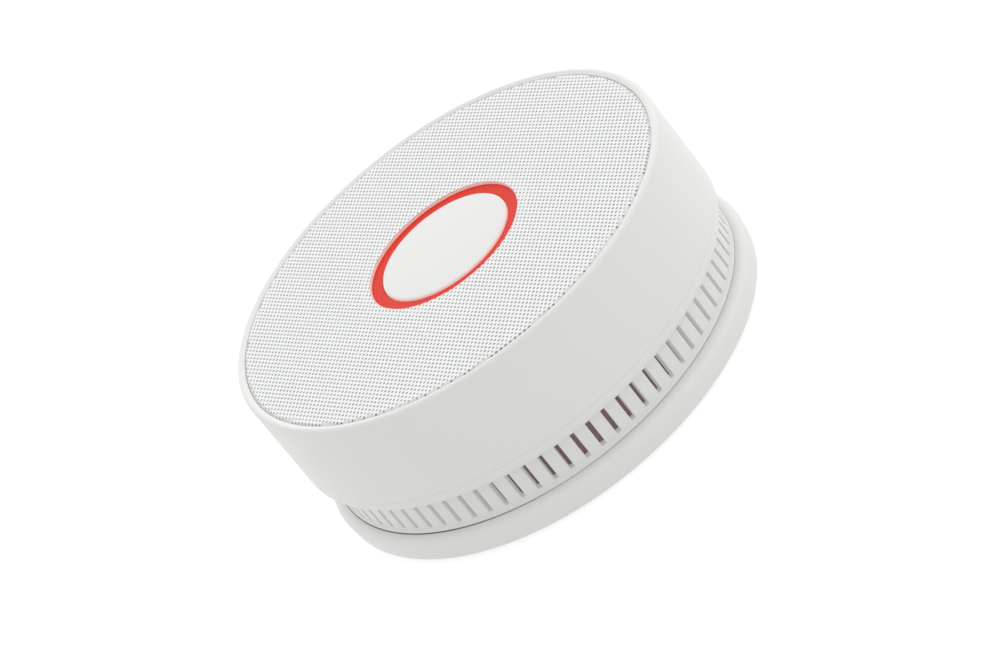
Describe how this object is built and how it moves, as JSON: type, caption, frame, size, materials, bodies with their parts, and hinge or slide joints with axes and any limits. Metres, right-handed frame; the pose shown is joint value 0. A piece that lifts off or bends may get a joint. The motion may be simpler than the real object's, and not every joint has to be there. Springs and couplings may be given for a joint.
{
  "type": "smoke detector",
  "caption": "Round battery smoke detector: perforated face, red-lit test button, slotted smoke inlet, optical chamber, horn, and a twist-off plate for wall or ceiling.",
  "frame": {"origin": "centre of the mounting plate's back face, the face that lies on the wall or ceiling", "axes": "+Z out of the wall or ceiling, through the perforated face; +X through the two screw slots; the battery lies on the +Y side and the horn on the -X side"},
  "size_m": [0.1002, 0.1002, 0.0383],
  "materials": {
    "white_shell": "fine satin moulded plastic",
    "button_white": "smooth satin moulded plastic",
    "grille_white": "powder-coated perforated sheet",
    "adhesive": "double-sided tape",
    "ring_red": "translucent red light guide",
    "chamber_black": "fine matt black plastic",
    "screen_bronze": "dark bronze woven mesh",
    "board_green": "solder-masked laminate",
    "chip_black": "moulded epoxy packages",
    "resistor_dark": "glazed chip bodies",
    "capacitor_tan": "ceramic chip bodies",
    "can_aluminium": "bare drawn cans",
    "lamp_lens": "white package with clear resin",
    "spring_steel": "drawn spring wire",
    "nickel_contact": "nickel-plated strip",
    "switch_steel": "stamped steel",
    "horn_black": "matt black plastic",
    "piezo_brass": "rolled sheet",
    "piezo_ceramic": "silvered ceramic",
    "winding_copper": "enamelled winding on a ferrite bobbin",
    "emitter_resin": "tinted clear resin",
    "receiver_resin": "infrared-pass resin",
    "tinned_wire": "tinned leads",
    "cell_sleeve": "printed-free shrink sleeve",
    "screw_steel": "zinc-plated steel"
  },
  "bodies": {
    "mount": {"mounting_plate": "white_shell"},
    "head": {"lower_housing": "white_shell", "outer_cover": "white_shell", "grille": "grille_white", "grille_adhesive": "adhesive", "light_ring": "ring_red", "button_return_spring": "spring_steel", "tact_switch_body": "chip_black", "tact_switch_frame": "switch_steel", "main_pcb": "board_green", "indicator_lamps": "lamp_lens", "microcontroller": "chip_black", "sensor_ic": "chip_black", "electrolytic_capacitors": "can_aluminium", "chip_resistors": "resistor_dark", "chip_capacitors": "capacitor_tan", "transistors": "chip_black", "horn_transformer": "winding_copper", "horn_housing": "horn_black", "piezo_disc": "piezo_brass", "piezo_ceramic": "piezo_ceramic", "piezo_retaining_ring": "horn_black", "horn_contact_springs": "spring_steel", "chamber_base": "chamber_black", "chamber_cap": "chamber_black", "ir_emitter": "emitter_resin", "photodiode": "receiver_resin", "optics_leads": "tinned_wire", "insect_screen": "screen_bronze", "battery_cell": "cell_sleeve", "battery_contact_positive": "nickel_contact", "battery_contact_negative": "nickel_contact", "battery_contact_spring": "nickel_contact", "housing_screws": "screw_steel", "board_screws": "screw_steel"},
    "button": {"test_button": "button_white"},
    "plunger": {"tact_switch_plunger": "chip_black"}
  },
  "joints": [
    {"name": "head_twist", "type": "hinge", "parent": "mount", "child": "head", "pos_m": [0, 0, 0], "axis": [0, 0, 1], "range_deg": [0, 15]},
    {"name": "button_press", "type": "slide", "parent": "head", "child": "button", "axis": [0, 0, -1], "range_m": [0, 0.001], "stiffness_N_per_m": 1500, "springref_m": -0.001, "deforming": ["button_return_spring"]},
    {"name": "switch_travel", "type": "slide", "parent": "head", "child": "plunger", "axis": [0, 0, -1], "range_m": [0, 0.0003]}
  ],
  "couplings": [
    {"joint": "switch_travel", "follows": "button_press", "ratio": 0.3}
  ]
}
